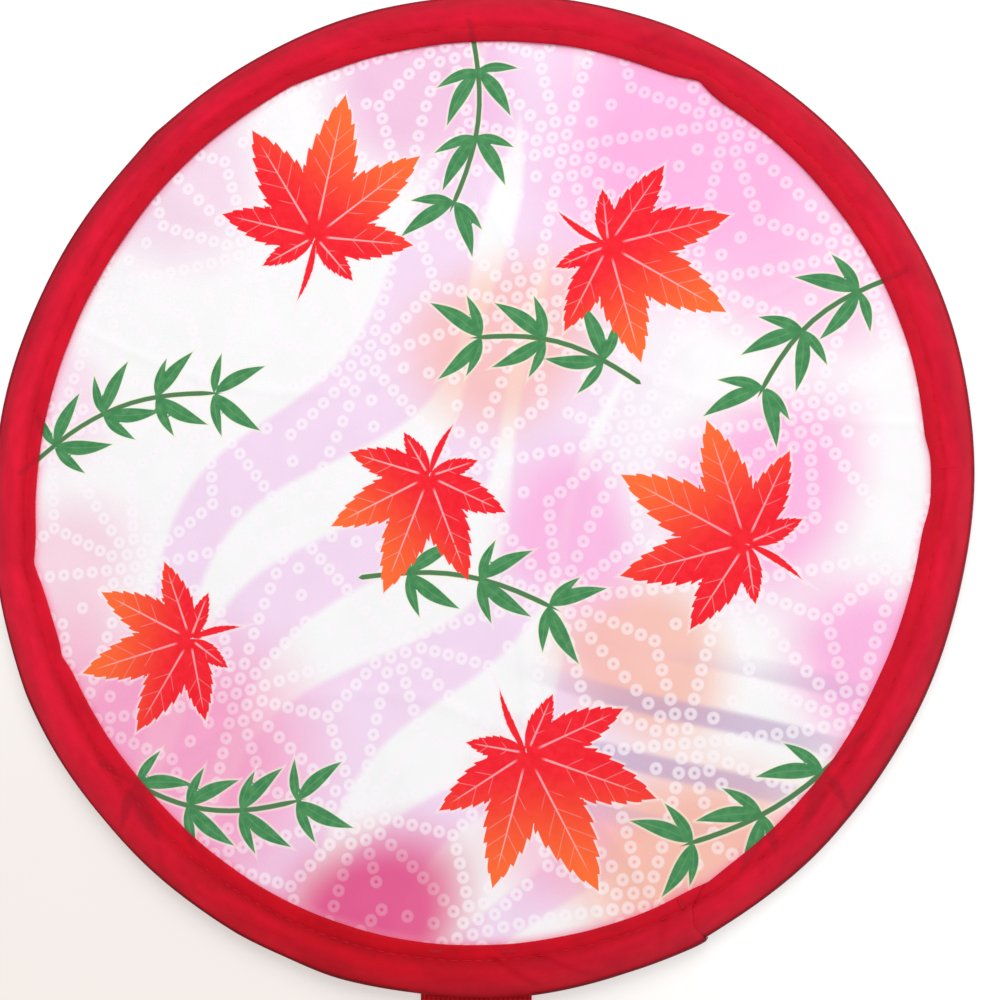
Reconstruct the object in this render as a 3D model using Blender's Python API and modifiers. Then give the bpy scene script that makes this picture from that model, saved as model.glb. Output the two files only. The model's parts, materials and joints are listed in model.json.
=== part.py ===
"""A round pop-up fan: a cloth face held taut by a sprung steel hoop in a folded binding tape.

The fan lies face up on the plane z = 0, with its closing band towards -Y. Lengths are in metres.
The face bends up about two fold lines, so the cloth, tape, hoop and hem threads are cut there.
"""
import math

import bmesh
import bpy

# Driving dimensions
FAN_DIAMETER = 0.240
RIM_WIDTH = 0.0118
HEM_WIDTH = 0.0044
CROWN_WIDTH = 0.0022
RIM_CORNER = 0.0012
TAPE_PLY = 0.0004
CLOTH_THICKNESS = 0.0003
HOOP_HEIGHT = 0.0024
HOOP_THICKNESS = 0.0004
FERRULE_LENGTH = 0.016
FERRULE_WALL = 0.0002
FERRULE_PLAY = 0.0001
THREAD_DIAMETER = 0.0003
THREAD_SEAT = 0.0002
TACK_LENGTH = 0.0030
TACK_WIDTH = 0.0012
TACK_HEIGHT = 0.0004
CLEARANCE = 0.0003
FOLD_OFFSET = 0.042
BAND_WIDTH = 0.0266
BAND_OFFSET = 0.0032
BAND_THICKNESS = 0.0008
BAND_REACH = 0.0600
BAND_SEAM = 0.0090
BAND_RISE = 0.0260
LOOP_BORE = 0.0052
ROOT_SETBACK = 0.0010

# Places around the rim, in degrees anticlockwise from +X
LAP_START = 263.2
LAP_END = 298.6
FERRULE_PLACE = 288.2

# Facets
RING_STEPS = 96
CORNER_STEPS = 3
THREAD_SIDES = 6
BEND_STEPS = 8
RISE_STEPS = 8

# Sizes that follow from the driving dimensions
RADIUS = FAN_DIAMETER / 2
UNDER_HOOP = BAND_THICKNESS + CLEARANCE
RIM_HEIGHT = HOOP_HEIGHT + 2 * UNDER_HOOP
MIDDLE = RIM_HEIGHT / 2
HEM_TOP = MIDDLE + CLOTH_THICKNESS / 2 + CLEARANCE + TAPE_PLY
HEM_IN = RADIUS - RIM_WIDTH
SEAM_RADIUS = HEM_IN + HEM_WIDTH
HOOP_OUTER = RADIUS - TAPE_PLY - CLEARANCE - FERRULE_WALL - FERRULE_PLAY
HOOP_INNER = HOOP_OUTER - HOOP_THICKNESS
CLOTH_RADIUS = HOOP_INNER - FERRULE_PLAY - FERRULE_WALL - CLEARANCE
LAP_LIFT = CLEARANCE + TAPE_PLY
LAP_TOP = HEM_TOP + LAP_LIFT
LOOP_HEIGHT = LOOP_BORE + 2 * BAND_THICKNESS
TACK_TOP = 2 * BAND_THICKNESS + CLEARANCE + TACK_HEIGHT
BAND_PIVOT_OUT = LAP_LIFT + TACK_TOP - BAND_THICKNESS / 2 + CLEARANCE
CENTRE_Y = BAND_REACH / 2
RIM_Y = CENTRE_Y - RADIUS
PIVOT_Y = RIM_Y - BAND_PIVOT_OUT
END_GAP = math.degrees(CLEARANCE / 2 / RADIUS)
FAR = 2 * FAN_DIAMETER

# Each look is a colour, a roughness and a metallic value
RED_TAPE = ((0.72, 0.012, 0.035, 1.0), 0.55, 0.0)
RED_ELASTIC = ((0.30, 0.004, 0.012, 1.0), 0.75, 0.0)
FACE_CLOTH = ((0.93, 0.72, 0.84, 1.0), 0.70, 0.0)
RED_THREAD = ((0.45, 0.008, 0.020, 1.0), 0.60, 0.0)
SPRING_STEEL = ((0.55, 0.55, 0.57, 1.0), 0.30, 1.0)


def clear_scene():
    for obj in list(bpy.data.objects):
        bpy.data.objects.remove(obj, do_unlink=True)


def new_collection(name):
    made = bpy.data.collections.new(name)
    bpy.context.scene.collection.children.link(made)
    return made


def joint_empty(name, place):
    """The empty on a joint's axis, which carries the pieces that the joint moves."""
    made = bpy.data.objects.new(name, None)
    made.location = place
    made.empty_display_size = 0.01
    PARTS.objects.link(made)
    return made


def new_material(name, look):
    colour, roughness, metallic = look
    made = bpy.data.materials.new(name)
    made.use_nodes = True
    shader = made.node_tree.nodes["Principled BSDF"]
    shader.inputs["Base Color"].default_value = colour
    shader.inputs["Roughness"].default_value = roughness
    shader.inputs["Metallic"].default_value = metallic
    made.diffuse_color = colour
    return made


def add_part(name, mesh, place, parent, look):
    """A piece at a place in the world, carried by its joint's empty, with its own material."""
    made = bpy.data.objects.new(name, mesh)
    if parent:
        made.parent = parent
        place = [world - base for world, base in zip(place, parent.location)]
    made.location = place
    mesh.materials.append(new_material(name, look))
    PARTS.objects.link(made)
    return made


def add_cutter(name, mesh, place):
    made = bpy.data.objects.new(name, mesh)
    made.location = place
    made.hide_render = True
    made.display_type = "WIRE"
    CUTTERS.objects.link(made)
    return made


def section_mesh(name, section):
    """A closed line of edges, given as (radius, height) points, for a Screw to turn."""
    shape = bmesh.new()
    points = [shape.verts.new((r, 0, z)) for r, z in section]
    for a, b in zip(points, points[1:] + points[:1]):
        shape.edges.new((a, b))
    mesh = bpy.data.meshes.new(name)
    shape.to_mesh(mesh)
    shape.free()
    return mesh


def turn(obj):
    """Turns the object's section into a ring about the fan's centre."""
    screw = obj.modifiers.new("turn", "SCREW")
    screw.angle = math.tau
    screw.steps = RING_STEPS
    screw.render_steps = RING_STEPS
    screw.use_merge_vertices = True
    screw.merge_threshold = 0.00001
    screw.use_smooth_shade = True


def prism_mesh(name, outline, low, high, along="Z"):
    """A closed prism: an outline in XY drawn out along Z, or an outline in YZ drawn out along X."""
    shape = bmesh.new()
    if along == "Z":
        points = [shape.verts.new((a, b, low)) for a, b in outline]
        step = (0, 0, high - low)
    else:
        points = [shape.verts.new((low, a, b)) for a, b in outline]
        step = (high - low, 0, 0)
    base = shape.faces.new(points)
    drawn = bmesh.ops.extrude_face_region(shape, geom=[base])["geom"]
    corners = [item for item in drawn if isinstance(item, bmesh.types.BMVert)]
    bmesh.ops.translate(shape, verts=corners, vec=step)
    bmesh.ops.recalc_face_normals(shape, faces=shape.faces)
    mesh = bpy.data.meshes.new(name)
    shape.to_mesh(mesh)
    shape.free()
    return mesh


def region(name, outline):
    """A tall prism that keeps what is inside its outline, which is drawn about the fan's centre."""
    return add_cutter(name, prism_mesh(name, outline, -FAR, FAR), FAN_CENTRE)


def boolean(piece, tool, operation):
    cut = piece.modifiers.new(tool.name, "BOOLEAN")
    cut.operation = operation
    cut.solver = "EXACT"
    cut.object = tool


def ring_part(name, section, parent, look, *regions):
    """A turned ring of which only the part inside every region is kept."""
    ring = add_part(name, section_mesh(name, section), FAN_CENTRE, parent, look)
    turn(ring)
    for kept in regions:
        boolean(ring, kept, "INTERSECT")
    return ring


def ray(degrees, distance, aside=0.0):
    """A point on the ray at this angle from the fan's centre, moved anticlockwise by aside."""
    angle = math.radians(degrees)
    x = distance * math.cos(angle) - aside * math.sin(angle)
    y = distance * math.sin(angle) + aside * math.cos(angle)
    return x, y


def tape_line(lift):
    """The tape's upper line, from the hem's inner edge to where the outer wall starts down."""
    line = [
        (HEM_IN, HEM_TOP + lift),
        (SEAM_RADIUS, HEM_TOP + lift),
        (RADIUS - RIM_CORNER - CROWN_WIDTH, RIM_HEIGHT + lift),
    ]
    for k in range(CORNER_STEPS + 1):
        angle = math.pi / 2 * (1 - k / CORNER_STEPS)
        r = RADIUS - RIM_CORNER + (RIM_CORNER + lift) * math.cos(angle)
        z = RIM_HEIGHT - RIM_CORNER + (RIM_CORNER + lift) * math.sin(angle)
        line.append((r, z))
    return line


def mirrored(line):
    """The same line under the middle of the rim, in the opposite order."""
    return [(r, RIM_HEIGHT - z) for r, z in reversed(line)]


def tape_section():
    """The folded tape: upper ply, outer wall and lower ply, open towards the cloth."""
    outer = tape_line(0)
    inner = tape_line(-TAPE_PLY)
    return outer + mirrored(outer) + mirrored(inner)[::-1] + inner[::-1]


def lap_section():
    """The lapped end, over the tape's upper ply and down its outer wall to the plane."""
    outer = tape_line(LAP_LIFT)
    inner = tape_line(CLEARANCE)
    return outer + [(outer[-1][0], 0), (inner[-1][0], 0)] + inner[::-1]


def box_section(r_in, r_out, low, high):
    return [(r_in, high), (r_out, high), (r_out, low), (r_in, low)]


def thread_section(r, z):
    half = THREAD_DIAMETER / 2
    points = []
    for k in range(THREAD_SIDES):
        angle = -math.tau * k / THREAD_SIDES
        points.append((r + half * math.cos(angle), z + half * math.sin(angle)))
    return points


def wedge(name, start, end):
    """Keeps the rim between two angles that are less than half a turn apart."""
    return region(name, ((0, 0), ray(start, FAR), ray(end, FAR)))


def make_regions():
    """The stretches of the fan on each side of its fold lines, with a gap between them."""
    near = FOLD_OFFSET - CLEARANCE / 2
    past = FOLD_OFFSET + CLEARANCE / 2
    outlines = {
        "upper": ((-FAR, past), (FAR, past), (FAR, FAR), (-FAR, FAR)),
        "lower": ((-FAR, -FAR), (FAR, -FAR), (FAR, -past), (-FAR, -past)),
        "middle": ((-FAR, -near), (FAR, -near), (FAR, near), (-FAR, near)),
        "left": ((-FAR, -near), (0, -near), (0, near), (-FAR, near)),
        "right": ((0, -near), (FAR, -near), (FAR, near), (0, near)),
    }
    return {name: region("keep_" + name, outline) for name, outline in outlines.items()}


def before(name, end):
    """Keeps the lower left of the rim, up to this angle."""
    return region(name, ((0, 0), (-FAR, 0), (-FAR, -FAR), ray(end - END_GAP, FAR)))


def after(name, start):
    """Keeps the lower right of the rim, from this angle on."""
    return region(name, ((0, 0), ray(start + END_GAP, FAR), (FAR, -FAR), (FAR, 0)))


def under_hoop(name):
    """The space under the hoop where the closing band's root passes."""
    half = BAND_WIDTH / 2 + CLEARANCE
    low, high = BAND_OFFSET - half, BAND_OFFSET + half
    outline = ((low, -FAR), (high, -FAR), (high, 0), (low, 0))
    return add_cutter(name, prism_mesh(name, outline, -UNDER_HOOP, UNDER_HOOP), FAN_CENTRE)


def make_cloth():
    """The face cloth in three panels. Its edge is held in the tape, short of the hoop."""
    low = MIDDLE - CLOTH_THICKNESS / 2
    edge = [ray(360 * k / RING_STEPS, CLOTH_RADIUS) for k in range(RING_STEPS)]
    for name, parent in (("middle", None), ("upper", UPPER_FOLD), ("lower", LOWER_FOLD)):
        mesh = prism_mesh("cloth_" + name, edge, low, low + CLOTH_THICKNESS)
        panel = add_part("cloth_" + name, mesh, FAN_CENTRE, parent, FACE_CLOTH)
        boolean(panel, KEEP[name], "INTERSECT")


def make_binding():
    """The folded tape, with a window under the hoop for the closing band's root."""
    for name, parent in ARC_PARENTS.items():
        arc = ring_part("binding_" + name, tape_section(), parent, RED_TAPE, KEEP[name])
        if name == "lower":
            boolean(arc, under_hoop("root_window"), "DIFFERENCE")


def make_lap():
    """The tape's lapped end, a second layer over the first that ends in a step at the lower right."""
    kept = wedge("keep_lap", LAP_START, LAP_END)
    lap = ring_part("binding_lap", lap_section(), LOWER_FOLD, RED_TAPE, kept)
    boolean(lap, under_hoop("lap_window"), "DIFFERENCE")


def make_hoop():
    """The sprung strip. Its two ends meet in the ferrule, so its lower stretch is two pieces."""
    low = MIDDLE - HOOP_HEIGHT / 2
    section = box_section(HOOP_INNER, HOOP_OUTER, low, low + HOOP_HEIGHT)
    for name in ("left", "upper", "right"):
        ring_part("hoop_" + name, section, ARC_PARENTS[name], SPRING_STEEL, KEEP[name])
    ends = {
        "lower_left": before("keep_hoop_left", FERRULE_PLACE),
        "lower_right": after("keep_hoop_right", FERRULE_PLACE),
    }
    for name, kept in ends.items():
        ring_part("hoop_" + name, section, LOWER_FOLD, SPRING_STEEL, KEEP["lower"], kept)


def make_ferrule():
    """A flat tube over both ends of the hoop."""
    half = math.degrees(FERRULE_LENGTH / 2 / HOOP_OUTER)
    kept = wedge("keep_ferrule", FERRULE_PLACE - half, FERRULE_PLACE + half)
    sections = []
    for grown in (FERRULE_PLAY, FERRULE_PLAY + FERRULE_WALL):
        rise = HOOP_HEIGHT / 2 + grown
        sections.append(box_section(HOOP_INNER - grown, HOOP_OUTER + grown, MIDDLE - rise, MIDDLE + rise))
    bore = add_cutter("ferrule_bore", section_mesh("ferrule_bore", sections[0]), FAN_CENTRE)
    turn(bore)
    ferrule = ring_part("hoop_ferrule", sections[1], LOWER_FOLD, SPRING_STEEL, kept)
    boolean(ferrule, bore, "DIFFERENCE")


def make_hem_threads():
    """The hem's lockstitch: the needle thread on the face and the bobbin thread on the back."""
    r = SEAM_RADIUS - THREAD_DIAMETER
    rise = HEM_TOP - MIDDLE + THREAD_SEAT + THREAD_DIAMETER / 2
    face = thread_section(r, MIDDLE + rise)
    back = thread_section(r, MIDDLE - rise)
    over_lap = thread_section(r, MIDDLE + rise + LAP_LIFT)
    for name, parent in ARC_PARENTS.items():
        ring_part("bobbin_thread_" + name, back, parent, RED_THREAD, KEEP[name])
        if name != "lower":
            ring_part("needle_thread_" + name, face, parent, RED_THREAD, KEEP[name])
    stretches = {
        "lower_left": (face, before("keep_thread_left", LAP_START)),
        "lower_right": (face, after("keep_thread_right", LAP_END)),
        "lap": (over_lap, wedge("keep_thread_lap", LAP_START, LAP_END)),
    }
    for name, (section, kept) in stretches.items():
        ring_part("needle_thread_" + name, section, LOWER_FOLD, RED_THREAD, KEEP["lower"], kept)


def make_band_root():
    """The closing band's sewn root, which passes under the hoop to the hem."""
    inner = BAND_THICKNESS / 2 + CLEARANCE
    low, high = BAND_OFFSET - BAND_WIDTH / 2, BAND_OFFSET + BAND_WIDTH / 2
    near, far = PIVOT_Y + inner, RIM_Y + RIM_WIDTH - ROOT_SETBACK
    outline = ((low, near), (high, near), (high, far), (low, far))
    mesh = prism_mesh("band_root", outline, 0, BAND_THICKNESS)
    add_part("band_root", mesh, (0, 0, 0), LOWER_FOLD, RED_ELASTIC)


def ease(share):
    return share * share * (3 - 2 * share)


def band_lines():
    """The closing loop seen along X, as its outer line and the line of its bore, about its pivot."""
    bend = LOOP_HEIGHT / 2
    bore = LOOP_BORE / 2
    end = BAND_PIVOT_OUT - BAND_REACH + bend
    half = BAND_THICKNESS / 2
    outer = []
    inner = []
    for k in range(BEND_STEPS + 1):
        angle = math.pi * k / BEND_STEPS
        outer.append((end - bend * math.sin(angle), bend - bend * math.cos(angle)))
        inner.append((end - bore * math.sin(angle), bend - bore * math.cos(angle)))
    for k in range(RISE_STEPS + 1):
        share = k / RISE_STEPS
        y = -BAND_SEAM - BAND_RISE * (1 - share)
        drop = LOOP_BORE * ease(share)
        outer.append((y, LOOP_HEIGHT - drop))
        inner.append((y, LOOP_HEIGHT - BAND_THICKNESS - drop))
    outer.append((-2 * half - CLEARANCE, 2 * BAND_THICKNESS))
    outer.append((-2 * half - CLEARANCE, BAND_THICKNESS))
    for k in range(BEND_STEPS + 1):
        angle = math.pi * k / BEND_STEPS
        outer.append((half * math.sin(angle), half + half * math.cos(angle)))
    return outer, inner


def make_band():
    """The closing band, one elastic strip sewn down on itself into a loop, and its bar tack."""
    low, high = BAND_OFFSET - BAND_WIDTH / 2, BAND_OFFSET + BAND_WIDTH / 2
    place = (0, PIVOT_Y, 0)
    outer, inner = band_lines()
    band = add_part("closing_band", prism_mesh("closing_band", outer, low, high, "X"), place, BAND_SWING,
                    RED_ELASTIC)
    bore = prism_mesh("band_bore", inner, low - BAND_WIDTH, high + BAND_WIDTH, "X")
    boolean(band, add_cutter("band_bore", bore, place), "DIFFERENCE")
    y = -BAND_SEAM / 2
    outline = [(low + TACK_LENGTH, y - TACK_WIDTH / 2), (high - TACK_LENGTH, y - TACK_WIDTH / 2),
               (high - TACK_LENGTH, y + TACK_WIDTH / 2), (low + TACK_LENGTH, y + TACK_WIDTH / 2)]
    tack = prism_mesh("band_tack", outline, TACK_TOP - TACK_HEIGHT, TACK_TOP)
    add_part("band_tack", tack, place, BAND_SWING, RED_THREAD)


def make_hem_tacks():
    """Tacks on the lapped hem: two that hold the band's root, and one across the lap's end."""
    low = LAP_TOP + CLEARANCE
    r = HEM_IN + HEM_WIDTH / 2
    root = math.degrees(BAND_WIDTH / 3 / r)
    middle = 270 + math.degrees(BAND_OFFSET / r)
    end = LAP_END - math.degrees(TACK_WIDTH / r)
    sizes = {
        "root_tack_left": (middle - root, TACK_WIDTH, TACK_LENGTH),
        "root_tack_right": (middle + root, TACK_WIDTH, TACK_LENGTH),
        "lap_tack": (end, TACK_LENGTH, TACK_WIDTH),
    }
    for name, (place, across, along) in sizes.items():
        inner, outer = r - across / 2, r + across / 2
        outline = [ray(place, inner, -along / 2), ray(place, outer, -along / 2),
                   ray(place, outer, along / 2), ray(place, inner, along / 2)]
        mesh = prism_mesh(name, outline, low, low + TACK_HEIGHT)
        add_part(name, mesh, FAN_CENTRE, LOWER_FOLD, RED_THREAD)


clear_scene()
PARTS = new_collection("pop_up_fan")
CUTTERS = new_collection("cutters")
FAN_CENTRE = (0, CENTRE_Y, 0)
UPPER_FOLD = joint_empty("upper_fold_axis", (0, CENTRE_Y + FOLD_OFFSET, RIM_HEIGHT))
LOWER_FOLD = joint_empty("lower_fold_axis", (0, CENTRE_Y - FOLD_OFFSET, RIM_HEIGHT))
BAND_SWING = joint_empty("band_swing_axis", (0, PIVOT_Y, BAND_THICKNESS / 2))
ARC_PARENTS = {"left": None, "right": None, "upper": UPPER_FOLD, "lower": LOWER_FOLD}
KEEP = make_regions()
make_cloth()
make_binding()
make_lap()
make_hoop()
make_ferrule()
make_hem_threads()
make_band_root()
make_band()
make_hem_tacks()
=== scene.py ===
"""The looks of the round pop-up fan: printed face cloth, red binding tape, sprung hoop and closing band."""

import json
import math

import bmesh
import bpy
import numpy as np
from mathutils import Matrix, Vector, noise
from mathutils.kdtree import KDTree


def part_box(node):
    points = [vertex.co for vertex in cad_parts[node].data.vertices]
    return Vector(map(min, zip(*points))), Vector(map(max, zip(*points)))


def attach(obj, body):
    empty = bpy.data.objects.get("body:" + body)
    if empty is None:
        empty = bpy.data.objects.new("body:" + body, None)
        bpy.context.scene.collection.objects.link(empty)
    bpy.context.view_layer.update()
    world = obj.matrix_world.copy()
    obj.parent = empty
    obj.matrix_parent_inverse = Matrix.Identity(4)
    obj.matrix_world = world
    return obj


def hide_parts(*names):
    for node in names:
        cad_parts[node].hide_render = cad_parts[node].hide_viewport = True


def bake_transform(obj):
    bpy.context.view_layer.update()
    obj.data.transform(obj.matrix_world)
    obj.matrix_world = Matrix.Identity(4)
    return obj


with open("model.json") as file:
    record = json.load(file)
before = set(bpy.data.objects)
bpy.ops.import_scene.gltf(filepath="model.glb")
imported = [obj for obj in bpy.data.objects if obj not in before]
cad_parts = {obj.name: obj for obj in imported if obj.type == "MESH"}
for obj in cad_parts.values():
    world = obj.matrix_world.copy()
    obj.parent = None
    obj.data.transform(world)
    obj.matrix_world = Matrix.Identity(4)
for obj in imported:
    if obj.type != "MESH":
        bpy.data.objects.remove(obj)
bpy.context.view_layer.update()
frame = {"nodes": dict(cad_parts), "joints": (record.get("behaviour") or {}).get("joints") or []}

# Places that the frame gives, in metres
JOINTS = {joint["name"]: joint for joint in frame["joints"]}
UPPER_FOLD_Y = JOINTS["upper_fold"]["pos_m"][1]
LOWER_FOLD_Y = JOINTS["lower_fold"]["pos_m"][1]
PIVOT_Y = JOINTS["band_swing"]["pos_m"][1]
CENTRE_Y = (UPPER_FOLD_Y + LOWER_FOLD_Y) / 2
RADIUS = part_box("binding_right")[1].x
CLOTH_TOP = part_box("cloth_middle")[1].z
BAND_LOW, BAND_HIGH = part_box("closing_band")
ROOT_END_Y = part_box("band_root")[1].y
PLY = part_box("band_root")[1].z
HOOP_LOW, HOOP_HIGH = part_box("hoop_right")[0].z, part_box("hoop_right")[1].z
HOOP_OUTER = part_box("hoop_right")[1].x

# Sizes of the rim, in metres
HEM_IN = 0.1082
SEAM_IN = 0.0036
HEM_TOP = 0.00326
NEEDLE_HEIGHT = 0.00302
BOBBIN_HEIGHT = 0.00155
CROWN_IN = 0.0020
TAPE_THICKNESS = 0.00028
HEM_MEAN = 0.10851
HEM_WANDER = 0.00012
LAP_LIFT = 0.00055
LAP_HIDDEN = 257.865
LAP_RISE = 10.0
LAP_END = 298.6
CLOTH_RADIUS = 0.1165
CLOTH_THICKNESS = 0.00025
MILLIMETRE = 0.001

# The hem's slow swells off its mean circle: swells in a turn, height in metres, and the angle of the phase
HEM_SWELLS = ((1, 0.00083, 17), (2, 0.00047, -57), (3, 0.00049, 141), (4, 0.00033, 56), (5, 0.00017, -159),
              (6, 0.00028, 32))
# Places where the hem's inner edge is pulled out: angle, depth in metres, degrees of run before and after,
# and how flat the pull's crest is
HEM_KINKS = (
    (58.4, 0.00185, 2.0, 2.6, 1.4),
    (358.9, 0.00115, 5.2, 4.2, 4.0),
    (188.6, 0.00152, 2.4, 3.2, 1.4),
    (201.5, 0.00092, 1.6, 1.4, 1.4),
    (113.5, 0.00065, 3.0, 4.0, 1.4),
    (302.0, 0.00060, 1.6, 2.4, 1.4),
)
# Places where the outer wall stands out or, below zero, in: angle, height in metres, and degrees of run
# each way
WALL_CORNERS = (
    (131.3, 0.00048, 2.4),
    (204.0, 0.00030, 4.0),
    (222.0, -0.00035, 10.0),
    (243.0, 0.00050, 7.0),
    (265.0, -0.00058, 9.0),
    (289.0, -0.00030, 6.0),
    (297.5, 0.00030, 2.5),
    (318.0, -0.00020, 6.0),
    (60.0, -0.00020, 8.0),
)
# The hoop's slow swells off a true circle: swells in a turn, height in metres, and the angle of the phase
HOOP_SWELLS = ((1, 0.00020, -18), (2, 0.00023, 16), (3, 0.00029, 156), (4, 0.00029, 89))

# Colours, in linear light
HEM_RED = (0.625, 0.0065, 0.024, 1)
MIDDLE_RED = (0.715, 0.0095, 0.036, 1)
CHANNEL_RED = (0.610, 0.0170, 0.038, 1)
# painted shade in the tape's creases
CREASE_SHADE_RED = (0.400, 0.0020, 0.012, 1)
# the hoop's dark edge through the tape, and painted shade on the outer wall
HOOP_EDGE_AND_SHADE_RED = (0.075, 0.0020, 0.008, 1)
PRINT_RED = (0.26, 0.010, 0.022, 1)
ELASTIC_RIB_SHADE = (0.400, 0.0024, 0.0075, 1)
ELASTIC_RED = (0.630, 0.0042, 0.0120, 1)
ELASTIC_FUZZ = (0.67, 0.0080, 0.020, 1)
THREAD_TWIST_SHADE = (0.49, 0.004, 0.017, 1)
THREAD_RED = (0.660, 0.0080, 0.026, 1)
RING_PALE = (0.985, 0.925, 0.970, 1)
SPRIG_EDGE = (0.93, 0.92, 0.74, 1)
SPRIG_GREENS = ((0.052, 0.235, 0.085, 1), (0.085, 0.300, 0.115, 1))
SPRIG_RIB = (0.20, 0.46, 0.20, 1)
STEM_GREEN = (0.085, 0.215, 0.085, 1)
MAPLE_EDGE = (0.985, 0.86, 0.84, 1)
MAPLE_REDS = ((0.900, 0.0125, 0.026, 1), (0.950, 0.021, 0.036, 1))
MAPLE_ORANGE = (1.0, 0.165, 0.038, 1)
CLOTH_BACK = (0.93, 0.90, 0.92, 1)
STEEL_GREYS = ((0.42, 0.43, 0.46, 1), (0.62, 0.63, 0.66, 1))
# the table's white, and its painted shade towards the lower left
TABLE_WHITE_AND_SHADE = ((0.50, 0.50, 0.495, 1), (0.48, 0.465, 0.45, 1))
TABLE_GLOW_AND_SHADE = ((0.62, 0.62, 0.615, 1), (0.460, 0.415, 0.395, 1))

# Pitches of the threads in each cloth, in metres
TAPE_WEAVE = 0.00042
CLOTH_WEAVE = 0.00046
ELASTIC_RIB = 0.00115
ELASTIC_PICK = 0.00062
THREAD_TWIST = 0.00035


def cosd(angle):
    return np.cos(np.radians(angle))


def sind(angle):
    return np.sin(np.radians(angle))


def turned(angle, centre):
    """The way from centre to angle, in degrees from -180 to 180."""
    return (angle - centre + 180) % 360 - 180


def hump(angle, centre, half, flat=2):
    """1 at the centre, fading with the degrees to each side of it; a higher flat gives it a squarer top."""
    return np.exp(-np.abs(turned(angle, centre) / half) ** flat)


def ease(low, high, value):
    """A smooth step from 0 at low to 1 at high."""
    share = np.clip((value - low) / (high - low), 0, 1)
    return share * share * (3 - 2 * share)


def rough(points, size, seed=0.0):
    """Smooth noise at each point, about -1 to 1, with lumps about this size."""
    offset = Vector((seed, seed * 1.7, seed * 0.6))
    return np.array([noise.noise(Vector(p) / size + offset) for p in points])


# The rim's shape round the fan, by angle in degrees anticlockwise from +X


def swells(angle, waves):
    return sum(height * cosd(count * angle - phase) for count, height, phase in waves)


def hem_radius(angle):
    """The hem's inner edge, which wanders as hand-fed tape does."""
    ripple = sind(13 * angle + 40) + 0.6 * sind(23 * angle) + 0.4 * sind(41 * angle + 70)
    radius = HEM_MEAN + swells(angle, HEM_SWELLS) - HEM_WANDER * ripple / 2
    for place, depth, before, after, flat in HEM_KINKS:
        run = np.where(turned(angle, place) < 0, before, after)
        radius = radius + depth * hump(angle, place, run, flat)
    return radius


def hoop_swell(angle):
    """How far the hoop stands out past its true circle."""
    return swells(angle, HOOP_SWELLS)


def wall_push(angle):
    """How far the tape's outer wall stands out past the hoop's own swell."""
    push = 0.00012 * (sind(7 * angle + 25) + 0.7 * sind(17 * angle + 130))
    for place, height, run in WALL_CORNERS:
        push = push + height * hump(angle, place, run, 1.4)
    return push


def lap_lift(angle):
    """How far the lapped end of the tape lies off the ply under it."""
    return LAP_LIFT * ease(LAP_HIDDEN - LAP_RISE, LAP_HIDDEN - 1, angle % 360)


def seam_radius(angle):
    inner = hem_radius(angle)
    return inner + SEAM_IN * (RADIUS - inner) / (RADIUS - HEM_IN)


def ray(angle, radius, z=0.0):
    return Vector((radius * cosd(angle), CENTRE_Y + radius * sind(angle), z))


def node_angle(node):
    """The angle round the fan at which a node of the frame lies."""
    low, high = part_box(node)
    middle = (low + high) / 2
    return math.degrees(math.atan2(middle.y - CENTRE_Y, middle.x))


# Object and mesh helpers


def placed(name, data):
    """A new object of the scene, at the origin."""
    made = bpy.data.objects.new(name, data)
    bpy.context.scene.collection.objects.link(made)
    return made


def new_object(name, mesh, material):
    made = placed(name, mesh)
    mesh.materials.clear()
    mesh.materials.append(material)
    for face in mesh.polygons:
        face.use_smooth = True
    return made


def to_mesh(shape, name):
    mesh = bpy.data.meshes.new(name)
    shape.to_mesh(mesh)
    shape.free()
    return mesh


def positions(mesh):
    flat = np.empty(len(mesh.vertices) * 3)
    mesh.vertices.foreach_get("co", flat)
    return flat.reshape(-1, 3)


def bearings(points):
    """The angle of each point round the origin, in degrees from -180 to 180."""
    return np.degrees(np.arctan2(points[:, 1], points[:, 0]))


def set_positions(mesh, points):
    mesh.vertices.foreach_set("co", np.ascontiguousarray(points, float).ravel())
    mesh.update()


def set_attribute(mesh, name, values):
    layer = mesh.attributes.new(name, "FLOAT", "POINT")
    layer.data.foreach_set("value", np.ascontiguousarray(values, np.float32))


def set_colours(mesh, name, values):
    layer = mesh.attributes.new(name, "FLOAT_COLOR", "POINT")
    solid = np.concatenate([values, np.ones((len(values), 1))], 1)
    layer.data.foreach_set("color", np.ascontiguousarray(solid, np.float32).ravel())


def get_attribute(mesh, name):
    values = np.empty(len(mesh.vertices))
    mesh.attributes[name].data.foreach_get("value", values)
    return values


def corner_vertices(mesh):
    """The vertex at every corner of every face."""
    vertices = np.empty(len(mesh.loops), int)
    mesh.loops.foreach_get("vertex_index", vertices)
    return vertices


def write_map(mesh, name, by_corner):
    layer = mesh.uv_layers.new(name=name)
    layer.data.foreach_set("uv", np.ascontiguousarray(by_corner, np.float32).ravel())


def set_uv(mesh, name, by_vertex):
    """A UV map read from one pair of numbers for each vertex."""
    write_map(mesh, name, by_vertex[corner_vertices(mesh)])


def closed_grid(name, x_cells, y_cells):
    """A square from -1 to 1 each way as a closed sheet, its face at 0 and its back at -1."""
    shape = bmesh.new()
    bmesh.ops.create_grid(shape, x_segments=x_cells, y_segments=y_cells, size=1)
    drawn = bmesh.ops.extrude_face_region(shape, geom=shape.faces[:])["geom"]
    bottom = [item for item in drawn if isinstance(item, bmesh.types.BMVert)]
    bmesh.ops.translate(shape, verts=bottom, vec=(0, 0, -1))
    return to_mesh(shape, name)


def face_out(mesh):
    """Turns every face of a closed mesh outwards."""
    shape = bmesh.new()
    shape.from_mesh(mesh)
    bmesh.ops.recalc_face_normals(shape, faces=shape.faces)
    shape.to_mesh(mesh)
    shape.free()


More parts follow.
